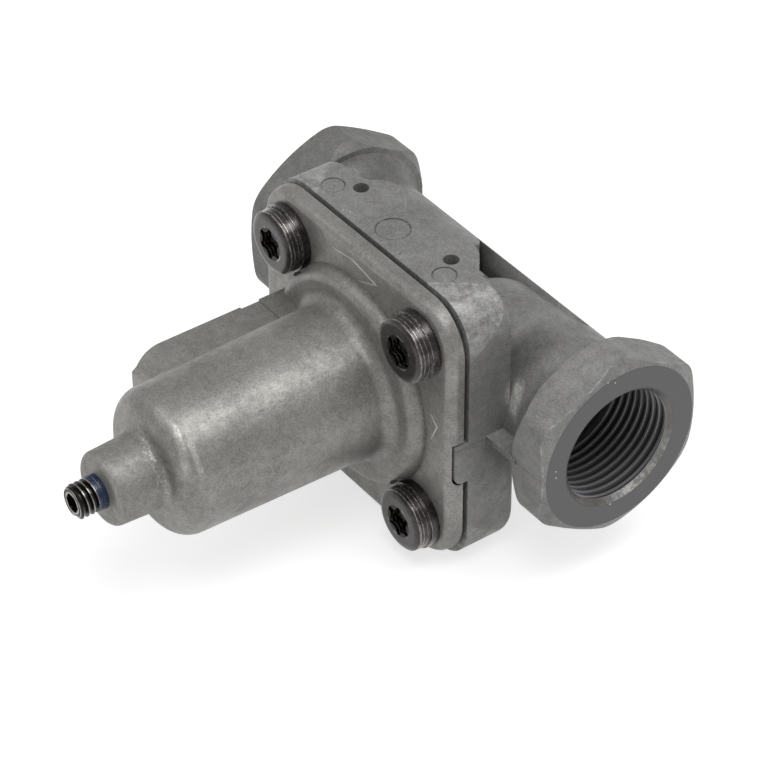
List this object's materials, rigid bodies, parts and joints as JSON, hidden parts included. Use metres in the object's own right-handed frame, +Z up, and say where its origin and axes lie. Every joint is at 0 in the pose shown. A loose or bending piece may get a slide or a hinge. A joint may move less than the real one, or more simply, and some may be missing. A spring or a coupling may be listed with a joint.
{
  "type": "overflow charging valve",
  "caption": "Brake system overflow valve: threaded hexagon ports in line, square flanged diaphragm seat, domed spring housing with adjusting screw and vent boss.",
  "frame": {"origin": "on the port axis, where the inlet's thread starts, 0.9 mm behind the port's face", "axes": "+X along the port axis in the direction of flow, -Y along the spring housing to the set screw, +Z up, towards the side of the flange with the pin holes"},
  "size_m": [0.0817, 0.0931, 0.052],
  "materials": {
    "cast_body": "die-cast, matte grey",
    "cast_cover": "die-cast, matte grey",
    "screw_steel": "dark oxide, oiled",
    "set_screw_steel": "black oxide",
    "spring_steel": "drawn, oiled",
    "plated_steel": "zinc plated",
    "machined_aluminium": "turned",
    "machined_brass": "turned",
    "sintered_bronze": "sintered, porous",
    "rubber": "moulded, fabric reinforced"
  },
  "bodies": {
    "housing": {"body": "cast_body", "cover": "cast_cover", "cover_screw_1": "screw_steel", "cover_screw_2": "screw_steel", "cover_screw_3": "screw_steel", "cover_screw_4": "screw_steel", "lock_washer_1": "screw_steel", "lock_washer_2": "screw_steel", "lock_washer_3": "screw_steel", "lock_washer_4": "screw_steel", "diaphragm": "rubber", "check_spring": "spring_steel", "check_retainer": "machined_brass", "retaining_ring": "spring_steel", "vent_filter": "sintered_bronze"},
    "piston": {"piston": "machined_aluminium"},
    "spring_plate": {"spring_plate": "plated_steel", "pressure_spring": "spring_steel"},
    "set_screw": {"set_screw": "set_screw_steel"},
    "check_poppet": {"check_poppet": "machined_brass", "check_seal": "rubber"}
  },
  "joints": [
    {"name": "piston_lift", "type": "slide", "parent": "housing", "child": "piston", "axis": [0, -1, 0], "range_m": [0, 0.0022], "stiffness_N_per_m": 15000, "springref_m": -0.0054, "deforming": ["diaphragm", "pressure_spring"]},
    {"name": "adjuster_travel", "type": "slide", "parent": "housing", "child": "spring_plate", "axis": [0, 1, 0], "range_m": [-0.003, 0.003], "deforming": ["pressure_spring"]},
    {"name": "set_screw_turn", "type": "hinge", "parent": "spring_plate", "child": "set_screw", "pos_m": [0.0403, -0.067, 0], "axis": [0, 1, 0], "range_deg": [-1100, 1100]},
    {"name": "check_lift", "type": "slide", "parent": "housing", "child": "check_poppet", "axis": [1, 0, 0], "range_m": [0, 0.0045], "stiffness_N_per_m": 900, "springref_m": -0.0015, "deforming": ["check_spring"]}
  ],
  "couplings": [
    {"joint": "set_screw_turn", "follows": "adjuster_travel", "rad_per_m": 6283.2}
  ]
}
